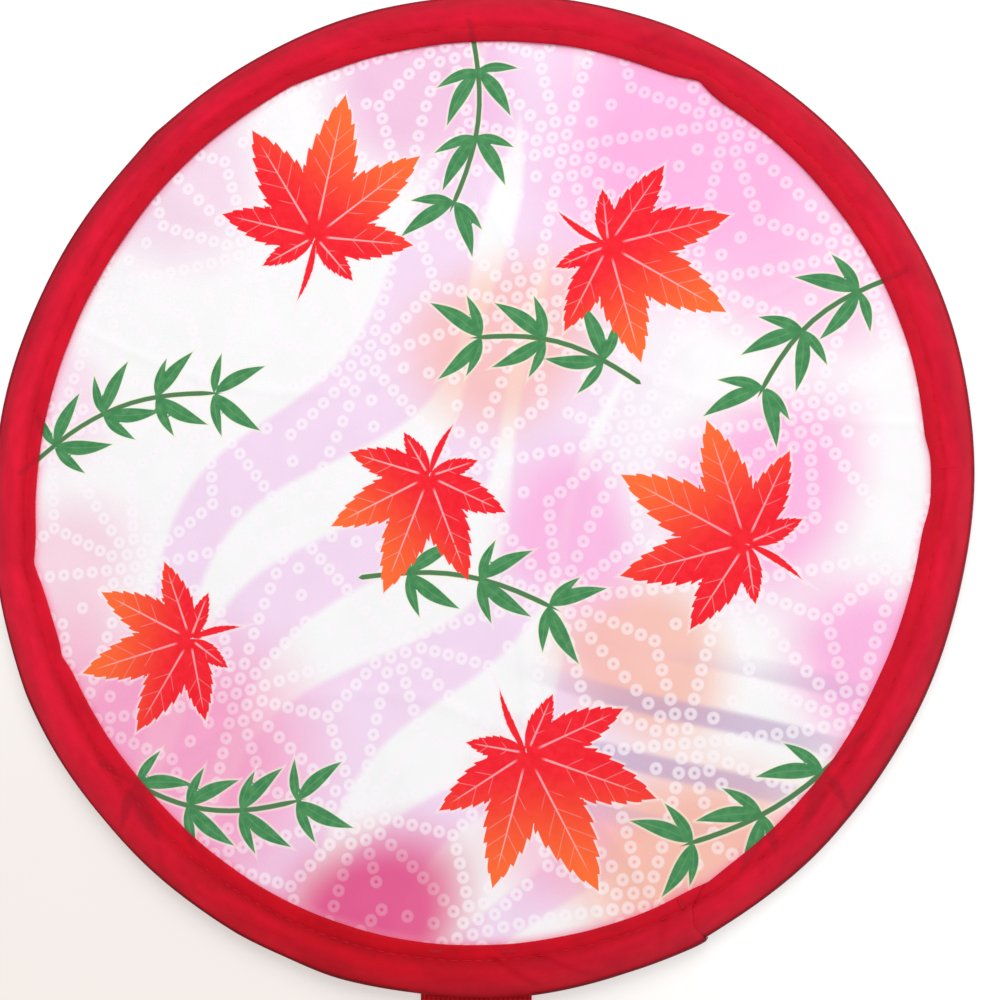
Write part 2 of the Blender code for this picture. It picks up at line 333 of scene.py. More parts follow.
def thicken(mesh, thickness, offset=-1.0):
    """The open sheet as a closed one, grown inwards from the side that its faces show."""
    carrier = placed("carrier", mesh)
    wall = carrier.modifiers.new("wall", "SOLIDIFY")
    wall.thickness = thickness
    wall.offset = offset
    wall.use_even_offset = False
    solid = bpy.data.meshes.new_from_object(carrier.evaluated_get(bpy.context.evaluated_depsgraph_get()))
    bpy.data.objects.remove(carrier)
    solid.name = mesh.name
    return solid


def keep_sharp(mesh, degrees=50):
    mesh.set_sharp_from_angle(angle=math.radians(degrees))


def bend_across(piece):
    """Bakes the piece's place into its mesh."""
    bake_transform(piece)


# Material helpers


class Number:
    """A number inside a material, which takes the usual signs of arithmetic."""

    def __init__(self, look, socket):
        self.look = look
        self.socket = socket

    def __add__(self, other):
        return self.look.maths("ADD", self, other)

    def __sub__(self, other):
        return self.look.maths("SUBTRACT", self, other)

    def __rsub__(self, other):
        return self.look.maths("SUBTRACT", other, self)

    def __mul__(self, other):
        return self.look.maths("MULTIPLY", self, other)

    def __truediv__(self, other):
        return self.look.maths("DIVIDE", self, other)

    def __abs__(self):
        return self.look.maths("ABSOLUTE", self)


class Look:
    """A material whose nodes are wired one plain step at a time."""

    def __init__(self, name, roughness, **fixed):
        self.material = bpy.data.materials.new(name)
        self.material.use_nodes = True
        self.tree = self.material.node_tree
        self.shader = self.tree.nodes["Principled BSDF"]
        self.shader.inputs["Roughness"].default_value = roughness
        for socket, value in fixed.items():
            self.shader.inputs[socket.replace("_", " ")].default_value = value

    def put(self, socket, value):
        if isinstance(value, Number):
            value = value.socket
        if isinstance(value, bpy.types.NodeSocket):
            self.tree.links.new(value, socket)
        else:
            socket.default_value = value

    def node(self, kind, *values, **settings):
        made = self.tree.nodes.new("ShaderNode" + kind)
        for key, value in settings.items():
            setattr(made, key, value)
        for socket, value in zip(made.inputs, values):
            if value is not None:
                self.put(socket, value)
        return made

    def maths(self, operation, a, b=0.0):
        return Number(self, self.node("Math", a, b, operation=operation).outputs[0])

    def between(self, value, low, high, to_low=0.0, to_high=1.0):
        """A smooth step of the value from one range to another."""
        made = self.node("MapRange", value, low, high, to_low, to_high, interpolation_type="SMOOTHSTEP")
        return Number(self, made.outputs[0])

    def mix(self, factor, a, b, kind="MIX"):
        made = self.node("Mix", data_type="RGBA", blend_type=kind)
        self.put(made.inputs[0], factor)
        self.put(made.inputs[6], a)
        self.put(made.inputs[7], b)
        return made.outputs[2]

    def dyed(self, colour, red, other):
        """The colour with its red times one number, and its green and blue times the other."""
        return self.mix(1.0, colour, self.node("CombineColor", red, other, other).outputs[0], "MULTIPLY")

    def uv(self, name):
        return self.node("UVMap", uv_map=name).outputs[0]

    def attribute(self, name):
        return Number(self, self.node("Attribute", attribute_name=name).outputs["Fac"])

    def scaled(self, vector, x, y, z=1.0):
        return self.node("Mapping", vector, None, None, (x, y, z)).outputs[0]

    def parts(self, vector):
        """The first two numbers of a place."""
        return [Number(self, socket) for socket in self.node("SeparateXYZ", vector).outputs[:2]]

    def length(self, vector):
        return self.node("VectorMath", vector, operation="LENGTH").outputs["Value"]

    def noise(self, vector, size, detail=2.0):
        made = self.node("TexNoise", vector)
        made.inputs["Scale"].default_value = 1 / size
        made.inputs["Detail"].default_value = detail
        return Number(self, made.outputs[0])

    def wave(self, value, pitch):
        return self.maths("SINE", value * (math.tau / pitch))

    def threads(self, vector, pitch):
        """A plain weave's height, from two sets of threads at right angles."""
        x, y = self.parts(vector)
        return self.wave(x, pitch) * self.wave(y, pitch)

    def slim_edge(self, name, teeth=0):
        """How far outside its pointed shape a place is, its share of the length, and its place across."""
        along, side = self.parts(self.uv(name))
        length, plump = self.parts(self.uv(name + "_form"))
        share = along / length
        across = abs(side) / length
        full = BASE_FULL - share * TIP_SLIM
        half = share * (1 - share) * 4 * (full * plump)
        if teeth:
            saw = self.maths("FRACT", (share - across * 0.55) * teeth)
            reach = self.between(share, 0.34, 0.50) * self.between(share, 0.98, 0.84)
            half = half + saw * reach * plump * 0.17
        return (across - half) * length, share, side

    def inside(self, name, edge):
        """1 inside a printed shape, by its exact edge or, well within it, by the vertices' own distances."""
        sharp = self.between(edge, -0.12, 0.12, 1, 0)
        deep = self.between(self.attribute(name + "_way"), -0.22, -0.04, 1, 0)
        return self.maths("MAXIMUM", sharp, deep)

    def leaf_veins(self, share, side):
        """A lobe's pale midrib and the fine veins that branch from it."""
        off = abs(side)
        midrib = self.between(off - (0.30 - share * 0.26), -0.10, 0.12, 0.45, 0)
        midrib = midrib * self.between(share, 0.90, 0.74)
        length, plump = self.parts(self.uv("lobe_form"))
        along = share * length
        branch = self.between(self.maths("PINGPONG", along - off * 1.1, 2.4), 0.04, 0.26, 0.20, 0)
        branch = branch * self.between(off - along * 0.24, 0.2, -0.5)
        branch = branch * self.between(share, 0.24, 0.36) * self.between(share, 0.84, 0.72)
        vein = self.maths("MAXIMUM", midrib, branch) * self.between(share, 0.10, 0.17)
        return vein * self.between(plump, 0.08, 0.12)

    def bump(self, height, distance, strength=1.0, normal=None):
        made = self.node("Bump")
        self.put(made.inputs["Strength"], strength)
        self.put(made.inputs["Distance"], distance)
        self.put(made.inputs["Height"], height)
        if normal:
            self.put(made.inputs["Normal"], normal)
        return made.outputs[0]

    def done(self, colour, normal=None, roughness=None):
        self.put(self.shader.inputs["Base Color"], colour)
        if normal:
            self.put(self.shader.inputs["Normal"], normal)
        if roughness:
            self.put(self.shader.inputs["Roughness"], roughness)
        return self.material


def red_tape_look():
    """Thin red nylon tape: a deep hem, painted shade in the crease at the seam and in the slanting creases,
    and the hoop's dark edge showing through it with painted shade on the outer wall.
    """
    look = Look("red_binding_tape", 0.5, Specular_IOR_Level=0.06)
    flat = look.uv("tape")
    across = look.parts(flat)[1]
    grain = look.noise(look.scaled(flat, 1, 4), 0.018, 3)
    fine = look.noise(look.scaled(flat, 1, 1.5), 0.0035, 2)
    colour = look.mix(look.between(across, 0.0036, 0.0060), HEM_RED, MIDDLE_RED)
    colour = look.mix(look.between(across, 0.0068, 0.0106), colour, CHANNEL_RED)
    # painted shade in the seam's crease and the slanting creases
    colour = look.mix(look.attribute("fold") * 0.30, colour, CREASE_SHADE_RED)
    colour = look.mix(look.attribute("print_under"), colour, PRINT_RED)
    # the hoop's dark edge showing through, with painted shade on the outer wall
    colour = look.mix(look.attribute("hoop_edge"), colour, HOOP_EDGE_AND_SHADE_RED)
    shade = look.between(grain, 0.30, 0.70, 0.90, 1.10) * look.between(fine, 0.2, 0.8, 0.95, 1.05)
    # painted light and shade round the rim, darker towards the bottom
    shade = shade * look.attribute("tone")
    # the green and blue also take painted shade at the bottom
    colour = look.dyed(colour, shade, shade * look.attribute("pure"))
    normal = look.bump(look.threads(flat, TAPE_WEAVE), 0.00003, 0.6)
    normal = look.bump(fine, 0.0003, 0.25, normal)
    return look.done(colour, normal, look.between(grain, 0.3, 0.7, 0.46, 0.60))


def ring_dots(look, colour, ground):
    """The colour with pale rings over it, fainter on a deep ground, and a faint darker pip in each."""
    dot = look.length(look.uv("dot"))
    red, green = look.node("SeparateColor", ground).outputs[:2]
    ring = look.between(dot, 1.22, 1.72, 1, 0) * look.between(dot, 0.26, 0.68, 0, 1)
    ring = ring * look.between(look.maths("DIVIDE", green, red), 0.20, 0.75, 0.16, 0.62)
    colour = look.mix(ring, colour, RING_PALE)
    pip = look.between(dot, 0.08, 0.30, 1, 0) * 0.35
    return look.mix(pip, colour, look.mix(1.0, colour, colour, "MULTIPLY"))


def printed_leaves(look, colour, ink):
    """The colour with the bamboo sprigs and the maple leaves over it, each with a pale edge."""
    blade, blade_share, blade_side = look.slim_edge("blade")
    share, across = look.parts(look.uv("stem"))
    taper = look.between(share, 1.0, 0.86) * look.between(share, 0.0, 0.03)
    stem = abs(across) - (taper * 0.74 - 0.14)
    green_edge = look.maths("MINIMUM", blade, stem + look.between(taper, 0.5, 0.1, 0, 2))
    colour = look.mix(look.between(green_edge, 0.20, 0.75, 0.50, 0), colour, SPRIG_EDGE)
    lobe, lobe_share, lobe_side = look.slim_edge("lobe", teeth=8)
    colour = look.mix(look.between(lobe, 0.20, 0.90, 0.55, 0), colour, MAPLE_EDGE)
    green = look.mix(look.between(ink, 0.3, 0.7), *SPRIG_GREENS)
    midrib = look.between(abs(blade_side), 0.05, 0.22, 0.30, 0) * look.between(blade_share, 0.14, 0.24)
    green = look.mix(midrib, green, SPRIG_RIB)
    colour = look.mix(look.between(stem, -0.12, 0.12, 1, 0), colour, STEM_GREEN)
    colour = look.mix(look.inside("blade", blade), colour, green)
    red = look.mix(look.between(ink, 0.3, 0.7), *MAPLE_REDS)
    warm = look.mix(look.attribute("leaf_glow"), red, MAPLE_ORANGE)
    vein = look.leaf_veins(lobe_share, lobe_side)
    return look.mix(look.inside("lobe", lobe) * (1 - vein), colour, warm)


def printed_cloth_look():
    """White plain-weave polyester with the face's print, paler on its back."""
    look = Look("printed_face_cloth", 0.72, Specular_IOR_Level=0.12, Sheen_Weight=0.03, Sheen_Roughness=0.5)
    flat = look.uv("cloth")
    ground = look.node("Attribute", attribute_name="ground").outputs["Color"]
    dye = look.between(look.noise(flat, 0.012, 2), 0.3, 0.7, 0.975, 1.0)
    colour = ring_dots(look, look.dyed(ground, dye, dye), ground)
    colour = printed_leaves(look, colour, look.noise(flat, 0.0022, 2))
    colour = look.mix(look.attribute("back") * 0.38, colour, CLOTH_BACK)
    normal = look.bump(look.threads(flat, CLOTH_WEAVE), 0.00003, 0.5)
    normal = look.bump(look.noise(look.scaled(flat, 1, 3), 0.004, 2), 0.0002, 0.12, normal)
    return look.done(colour, normal)


def elastic_look():
    """Ribbed woven elastic, with painted shade in the valleys between its ribs."""
    look = Look("dark_red_elastic", 0.75, Specular_IOR_Level=0.15, Sheen_Weight=0.05, Sheen_Roughness=0.4)
    flat = look.uv("band")
    across, along = look.parts(flat)
    rib = look.wave(across, ELASTIC_RIB)
    height = rib + look.wave(along, ELASTIC_PICK) * 0.35
    fuzz = look.noise(flat, 0.0016, 3)
    # painted shade in the rib valleys
    deep = look.mix(look.between(rib, -1, 0.6), ELASTIC_RIB_SHADE, ELASTIC_RED)
    colour = look.mix(look.between(fuzz, 0.25, 0.75, 0.0, 0.35), deep, ELASTIC_FUZZ)
    return look.done(colour, look.bump(height, 0.00009, 0.8))


def thread_look():
    """Twisted red sewing thread, with painted shade in the grooves of its twist."""
    look = Look("red_thread", 0.5, Specular_IOR_Level=0.2)
    across, along = look.parts(look.uv("thread"))
    turn = look.wave(across + along, THREAD_TWIST)
    # painted shade in the twist's grooves
    colour = look.mix(look.between(turn, -1, 1), THREAD_TWIST_SHADE, THREAD_RED)
    return look.done(colour, look.bump(turn, 0.00004, 0.6))


def steel_look():
    """Blued spring steel with fine drawn lines."""
    look = Look("spring_steel", 0.3, Metallic=1.0)
    place = look.node("TexCoord").outputs["Object"]
    lines = look.noise(look.scaled(place, 1, 1, 30), 0.006, 3)
    colour = look.mix(look.between(lines, 0.3, 0.7), *STEEL_GREYS)
    return look.done(colour, None, look.between(lines, 0.3, 0.7, 0.24, 0.42))


# The print: its layout is in millimetres from the fan's centre


def spot(place, angle, length):
    """The point at this angle and length from a place."""
    return np.array([place[0] + length * cosd(angle), place[1] + length * sind(angle)])


def near(points, middle, reach):
    """The rows of the points that lie within a reach of the middle."""
    return np.nonzero(np.abs(points - np.array(middle)).max(1) < reach)[0]


def bulge(share):
    """A slim shape's half width along it, as a share of the widest: fullest before its middle."""
    return 4 * share * (1 - share) * (BASE_FULL - TIP_SLIM * share)


def slim_shape(points, shape):
    """Places along and across a slim pointed shape, and the distance outside it, less than zero inside."""
    base, tip, plump, bow = shape
    length = np.linalg.norm(tip - base)
    axis = (tip - base) / length
    along = (points - base) @ axis
    side = (points - base) @ np.array([-axis[1], axis[0]])
    share = np.clip(along / length, 0, 1)
    side = side - bow * length * 4 * share * (1 - share)
    edge = np.abs(side) - plump * length * bulge(share)
    beyond = np.maximum(np.maximum(-along, along - length), 0)
    return along, side, np.hypot(np.maximum(edge, 0), beyond) + np.minimum(edge, 0)


# Each maple leaf is a place, a size and a heading, and each of its lobes an angle and a share of the size
MAPLE_LEAVES = (
    (-37, 62, 36, 78),
    (36, 56, 33, -32),
    (68, -16, 34, 150),
    (-8, 2, 30, 248),
    (16, -64, 36, -62),
    (-68, -36, 29, 196),
)
MAPLE_LOBES = ((0, 1.0), (43, 0.90), (-43, 0.90), (86, 0.70), (-86, 0.70), (128, 0.42), (-128, 0.42))
LOBE_PLUMP = 0.178
STALK = 0.46
BASE_FULL = 1.30
TIP_SLIM = 0.70


def maple_shapes():
    """Every lobe and stalk of the maple leaves."""
    shapes = []
    for x, y, size, heading in MAPLE_LEAVES:
        middle = np.array([x, y], float)
        for turn, share in MAPLE_LOBES:
            shapes.append((middle, spot(middle, heading + turn, size * share), LOBE_PLUMP, 0.0))
        length = size * STALK
        shapes.append((middle, spot(middle, heading + 176, length), 0.85 / length, 0.05))
    return shapes


def maple_glow(points):
    """How far each place is towards the orange tips of its leaf."""
    glow = np.zeros(len(points))
    for x, y, size, heading in MAPLE_LEAVES:
        rows = near(points, (x, y), size * 1.1)
        reach = (points[rows] - np.array([x, y])) @ np.array([cosd(heading - 25), sind(heading - 25)]) / size
        glow[rows] = np.maximum(glow[rows], ease(0.05, 0.92, reach))
    return glow


# Each bamboo sprig is a start, an end and a sideways bend, with this many knots of leaves
SPRIGS = (
    ((2, 113), (-4, 64), 5, 3),
    ((106, 46), (70, 16), -6, 3),
    ((-113, 6), (-58, 24), 7, 4),
    ((-90, -66), (-36, -74), -7, 4),
    ((94, -60), (50, -86), 4, 3),
    ((44, 22), (0, 35), -5, 3),
    ((-26, -22), (26, -32), 5, 3),
)
SPRIG_LEAVES = ((36, 14.5), (-32, 15.5), (76, 10.0), (-70, 11.0))
SPRIG_PLUMP = 0.12
STEM_HALF = 0.55


def sprig_lines():
    """The stem of each sprig as points along it."""
    lines = []
    for start, end, bend, knots in SPRIGS:
        start, end = np.array(start, float), np.array(end, float)
        side = np.array([start[1] - end[1], end[0] - start[0]]) / np.linalg.norm(end - start)
        shares = np.linspace(0, 1, knots * 4 + 1)
        line = [start + (end - start) * share + side * bend * math.sin(math.pi * share) for share in shares]
        lines.append(line)
    return lines


def sprig_shapes():
    """Every leaf of the sprigs."""
    shapes = []
    for line in sprig_lines():
        for knot, k in enumerate(range(3, len(line), 4)):
            ahead = line[k] - line[k - 1]
            heading = math.degrees(math.atan2(ahead[1], ahead[0]))
            for turn, length in SPRIG_LEAVES:
                sway = 9 * math.sin(2.1 * knot + turn)
                root = line[k] - 0.8 * ahead / np.linalg.norm(ahead)
                bow = math.copysign(0.045, turn)
                shapes.append((root, spot(root, heading + turn + sway, length), SPRIG_PLUMP, bow))
    return shapes


def stem_pieces():
    """The stems' straight pieces, and each one's start and length as shares of its stem."""
    pieces = []
    shares = []
    for line in sprig_lines():
        step = 1 / (len(line) - 1)
        for k, (a, b) in enumerate(zip(line, line[1:])):
            pieces.append((a, b, 0.0, 0.0))
            shares.append((k * step, step))
    return pieces, shares


def nearest_shape(points, shapes):
    """Each point's nearest shape, or -1, and its distance outside that shape."""
    least = np.full(len(points), 5.0)
    chosen = np.full(len(points), -1)
    for k, shape in enumerate(shapes):
        reach = np.linalg.norm(shape[1] - shape[0]) / 2 + 5
        rows = near(points, (shape[0] + shape[1]) / 2, reach)
        way = slim_shape(points[rows], shape)[2]
        closer = way < least[rows]
        least[rows[closer]] = way[closer]
        chosen[rows[closer]] = k
    return chosen, least


def print_distance(points):
    """The distance outside the sprigs' leaves and stems, for where they show faintly through the tape."""
    leaves = nearest_shape(points, sprig_shapes())[1]
    stems = nearest_shape(points, stem_pieces()[0])[1]
    return np.minimum(leaves, stems - STEM_HALF)


def set_shapes(mesh, name, shapes, flat, corners, face_of, middles):
    """Gives every face its places along and across the nearest shape, and that shape's size."""
    set_attribute(mesh, name + "_way", np.maximum(nearest_shape(flat, shapes)[1], -2.0))
    pick = nearest_shape(middles, shapes)[0][face_of]
    place = np.full((len(corners), 2), (-30.0, 30.0))
    form = np.full((len(corners), 2), (10.0, 0.1))
    for k, shape in enumerate(shapes):
        rows = np.nonzero(pick == k)[0]
        along, side, _ = slim_shape(corners[rows], shape)
        place[rows] = np.stack([along, side], 1)
        form[rows] = (np.linalg.norm(shape[1] - shape[0]), shape[2])
    write_map(mesh, name, place)
    write_map(mesh, name + "_form", form)


def set_stems(mesh, corners, face_of, middles):
    """Gives every face its share along the nearest stem and its place across it."""
    pieces, shares = stem_pieces()
    pick = nearest_shape(middles, pieces)[0][face_of]
    place = np.full((len(corners), 2), (-1.0, 30.0))
    for k, (piece, (first, step)) in enumerate(zip(pieces, shares)):
        rows = np.nonzero(pick == k)[0]
        along, side, _ = slim_shape(corners[rows], piece)
        place[rows] = np.stack([first + step * along / np.linalg.norm(piece[1] - piece[0]), side], 1)
    write_map(mesh, "stem", place)


# Streams are a height, a half width, a swing and a phase
STREAMS = ((46, 9, 13, 0.3), (20, 7, 15, 1.0), (-8, 10, 14, 1.7), (-38, 8, 12, 2.3), (-64, 7, 9, 2.9))
STREAM_TURN = 62
STREAM_RUN = 33
LILAC = (0.910, 0.690, 0.890)
PINK = (0.965, 0.430, 0.745)
ROSE = (0.950, 0.310, 0.540)
ORCHID = (0.860, 0.400, 0.690)
MAGENTA = (0.790, 0.085, 0.265)
PEACH = (0.950, 0.450, 0.340)
MAUVE = (0.530, 0.360, 0.570)
# painted reflection of the red tape on the cloth by the hem
PAINTED_TAPE_REFLECTION = (0.955, 0.300, 0.490)
# Washes are a place, a reach, a colour and a strength
WASHES = (
    (58, 82, 47, PINK, 0.95),
    (86, 46, 26, PINK, 0.60),
    (-12, 100, 30, ORCHID, 0.70),
    (-74, 82, 30, ORCHID, 0.45),
    (72, -4, 29, PINK, 0.90),
    (100, -46, 27, PINK, 0.90),
    (10, 34, 27, PEACH, 0.62),
    (44, -42, 24, PEACH, 0.75),
    (26, -12, 21, PINK, 0.80),
    (-76, -66, 46, ROSE, 0.80),
    (-104, -22, 26, ROSE, 0.40),
    (-22, -104, 28, MAGENTA, 0.95),
    (56, -92, 34, PEACH, 0.85),
    (20, -78, 22, ROSE, 0.45),
    (-106, 24, 20, PINK, 0.40),
)


def washed(colour, dye, share):
    """Each point's colour, moved by its share towards the dye."""
    return colour + (np.array(dye) - colour) * share[:, None]


def ground_print(points):
    """The white ground with its lilac streams, blurred washes and mauve strokes, and a painted pink reflection
    of the red tape next to the hem.
    """
    axis = np.array([cosd(STREAM_TURN), sind(STREAM_TURN)])
    run = points @ axis
    across = points @ np.array([axis[1], -axis[0]])
    colour = np.tile(np.array([0.955, 0.945, 0.955]), (len(points), 1))
    stream = np.zeros(len(points))
    for height, half, swing, phase in STREAMS:
        line = -height * 0.9 + swing * np.sin(run / STREAM_RUN + phase) + 4 * np.sin(run / 13 + 2 * phase)
        width = half * (1 + 0.35 * np.sin(run / 24 + 3 * phase))
        stream = np.maximum(stream, ease(1.1, -1.1, np.abs(across - line) - width))
    stream = stream * ease(62, 20, points[:, 0])
    colour = washed(colour, LILAC, 0.95 * stream)
    for x, y, reach, wash, strength in WASHES:
        way = np.hypot(points[:, 0] - x, points[:, 1] - y)
        bearing = np.arctan2(points[:, 1] - y, points[:, 0] - x)
        way = way * (1 + 0.10 * np.sin(2 * bearing + x) + 0.06 * np.sin(3 * bearing + y))
        colour = washed(colour, wash, strength * ease(1.1, 0.42, way / reach))
    slant = points @ np.array([sind(17), cosd(17)])
    stroke = ease(0.10, 0.75, np.sin(slant / 2.1 + 0.8 * np.sin(points[:, 0] / 19)))
    place = np.exp(-((points[:, 0] - 56) / 36) ** 4 - ((points[:, 1] + 62) / 17) ** 4)
    colour = washed(colour, MAUVE, 0.72 * stroke * place)
    # painted reflection: the red tape's pink on the cloth next to the hem
    radius = np.hypot(points[:, 0], points[:, 1])
    hem = hem_radius(bearings(points) % 360) / MILLIMETRE
    return washed(colour, PAINTED_TAPE_REFLECTION, 0.62 * ease(hem - 2.3, hem + 0.6, radius))


# The ring dots follow a traditional hemp-leaf figure, lines between the corners and middles of triangles
HEMP_SIDE = 41.0
HEMP_TURN = 11.0
DOT_PITCH = 3.6


def dot_centres():
    """The ring dots' places along the figure's lines, with none closer than the pitch allows."""
    tall = HEMP_SIDE * math.sqrt(3) / 2
    lines = []
    for row in range(-4, 4):
        for column in range(-5, 6):
            corner = np.array([(column + row / 2) * HEMP_SIDE, row * tall])
            right = corner + (HEMP_SIDE, 0)
            up = corner + (HEMP_SIDE / 2, tall)
            down = corner + (HEMP_SIDE / 2, -tall)
            lines += [(corner, right), (corner, up), (corner, down)]
            for other in (up, down):
                middle = (corner + right + other) / 3
                lines += [(middle, corner), (middle, right), (middle, other)]
    turn = np.array([[cosd(HEMP_TURN), -sind(HEMP_TURN)], [sind(HEMP_TURN), cosd(HEMP_TURN)]])
    kept = []
    cells = {}
    for a, b in lines:
        count = max(1, round(np.linalg.norm(b - a) / DOT_PITCH))
        for k in range(count + 1):
            x, y = turn @ (a + (b - a) * k / count)
            x, y = x + 3.0 * math.sin(y / 21), y + 3.0 * math.sin(x / 25 + 1)
            if math.hypot(x, y) > 113:
                continue
            cell = (math.floor(x / DOT_PITCH), math.floor(y / DOT_PITCH))
            close = [
                other
                for i in (-1, 0, 1)
                for j in (-1, 0, 1)
                for other in cells.get((cell[0] + i, cell[1] + j), [])
                if math.hypot(other[0] - x, other[1] - y) < DOT_PITCH * 0.92
            ]
            if not close:
                cells.setdefault(cell, []).append((x, y))
                kept.append((x, y))
    return kept


def set_dots(mesh, corners, face_of, middles):
    """Gives every face the places across and up from its own ring dot's centre."""
    centres = dot_centres()
    tree = KDTree(len(centres))
    for k, (x, y) in enumerate(centres):
        tree.insert((x, y, 0), k)
    tree.balance()
    nearest = np.array([tree.find((x, y, 0))[0][:2] for x, y in middles])
    write_map(mesh, "dot", corners - nearest[face_of])


def set_print(mesh, flat):
    """Writes the whole print to the mesh, whose vertices lie at these places in millimetres."""
    totals = np.empty(len(mesh.polygons), int)
    mesh.polygons.foreach_get("loop_total", totals)
    face_of = np.repeat(np.arange(len(totals)), totals)
    corners = flat[corner_vertices(mesh)]
    sums = np.zeros((len(totals), 2))
    np.add.at(sums, face_of, corners)
    middles = sums / totals[:, None]
    set_colours(mesh, "ground", ground_print(flat))
    set_attribute(mesh, "leaf_glow", maple_glow(flat))
    write_map(mesh, "cloth", corners * MILLIMETRE)
    set_dots(mesh, corners, face_of, middles)
    set_shapes(mesh, "lobe", maple_shapes(), flat, corners, face_of, middles)
    set_shapes(mesh, "blade", sprig_shapes(), flat, corners, face_of, middles)
    set_stems(mesh, corners, face_of, middles)


# The face cloth


CLOTH_CELLS = 300
# Soft creases across the cloth: heading, place off the centre in metres, and bow
CLOTH_CREASES = ((24, 0.031, 9.0), (68, -0.022, -7.0), (-41, 0.046, 6.0), (-12, -0.052, -8.0))


def cloth_rise(x, y):
    """The taut cloth's height over its plane, in metres: slow swells, and ripples drawn in at the rim."""
    radius = np.hypot(x, y)
    points = np.stack([x, y, np.zeros(len(x))], 1)
    angle = bearings(points)
    swell = 0.00030 * rough(points, 0.055, 3.1) + 0.00012 * rough(points, 0.021, 7.7)
    phase = 3 * rough(points, 0.030, 5.2)
    ripple = sind(34 * angle + 120 * phase) * ease(0.078, 0.106, radius)
    crease = np.zeros(len(x))
    for turn, offset, bow in CLOTH_CREASES:
        along = x * cosd(turn) + y * sind(turn)
        off = y * cosd(turn) - x * sind(turn) - offset - bow * along ** 2
        crease = crease + np.exp(-(off / 0.0016) ** 2)
    drawn = ease(CLOTH_RADIUS, 0.104, radius)
    return (swell + 0.00009 * ripple + 0.00016 * crease) * drawn


def make_cloth(side, look):
    """Half of the round face cloth, a thin closed sheet that meets the other half on the middle line."""
    upper = side == "upper"
    mesh = closed_grid("face_cloth_" + side, CLOTH_CELLS, CLOTH_CELLS // 2)
    grid = positions(mesh)
    a = grid[:, 0]
    b = (grid[:, 1] + 1) / 2 * (1 if upper else -1)
    x = CLOTH_RADIUS * a * np.sqrt(1 - b * b / 2)
    y = CLOTH_RADIUS * b * np.sqrt(1 - a * a / 2)
    under = grid[:, 2] < -0.5
    z = CLOTH_TOP + cloth_rise(x, y) - CLOTH_THICKNESS * under
    set_positions(mesh, np.stack([x, y + CENTRE_Y, z], 1))
    face_out(mesh)
    set_attribute(mesh, "back", under.astype(float))
    set_print(mesh, np.stack([x, y], 1) / MILLIMETRE)
    piece = new_object("face_cloth_" + side, mesh, look)
    keep_sharp(mesh)
    bend_across(piece)
    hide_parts("cloth_" + side, "cloth_middle")


# The binding tape

TAPE_STEP = 0.36
PUCKER_PITCH = 0.0105
# The tape's outer line in section, as ways and heights in millimetres: the turned-in hem and the face
# outwards from the hem's edge, the face and then the wall and back inwards from the rim, and the back's hem
HEM_FACE = (
    (3.2, 2.58), (1.8, 2.58), (0.5, 2.59), (0.12, 2.68), (0, 2.85), (0.12, 3.03), (0.5, 3.16), (1.2, 3.24),
    (2.0, 3.26), (2.7, 3.23), (3.1, 3.16), (3.4, 3.08), (3.6, 3.04), (3.8, 3.08), (4.1, 3.17), (4.5, 3.32),
    (5.2, 3.58), (6.0, 3.86), (6.8, 4.09), (7.6, 4.27),
)
RIM_FACE = (
    (3.5, 4.41), (2.8, 4.51), (2.2, 4.57), (1.7, 4.60), (1.3, 4.60), (1.0, 4.55), (0.7, 4.43), (0.4, 4.20),
    (0.18, 3.90), (0.05, 3.50),
)
RIM_BACK = (
    (0, 3.0), (0, 2.3), (0, 1.6), (0.05, 1.1), (0.18, 0.7), (0.4, 0.4), (0.7, 0.17), (1.0, 0.05), (1.3, 0),
    (2.2, 0), (3.0, 0.10), (4.0, 0.38),
)
HEM_BACK = (
    (6.8, 0.60), (5.6, 0.95), (4.5, 1.30), (3.6, 1.60), (2.8, 1.36), (1.6, 1.32), (0.5, 1.42), (0.1, 1.58),
    (0.3, 1.78), (3.0, 1.84),
)
TOP_COUNT = len(HEM_FACE) + len(RIM_FACE)
# Slanting creases in the tape: angle, slant in degrees per metre, and depth in metres
TAPE_CREASES = (
    (276.2, 700, 0.00030), (281.8, 800, 0.00024), (294.5, -300, 0.00022), (214.0, 500, 0.00014),
    (229.0, 650, 0.00012), (152.0, -500, 0.00010), (102.0, 600, 0.00010), (66.0, -500, 0.00018),
    (33.0, 500, 0.00010), (352.0, -450, 0.00012), (325.0, 500, 0.00012), (308.0, -350, 0.00016),
)


def tape_line():
    """The tape's outer line from its turned-in hem over the hoop and back to the hem under the cloth."""
    line = []
    tables = ((HEM_IN, 1, HEM_FACE), (RADIUS, -1, RIM_FACE + RIM_BACK), (HEM_IN, 1, HEM_BACK))
    for start, way, table in tables:
        line += [(start + way * out * MILLIMETRE, height * MILLIMETRE) for out, height in table]
    return line


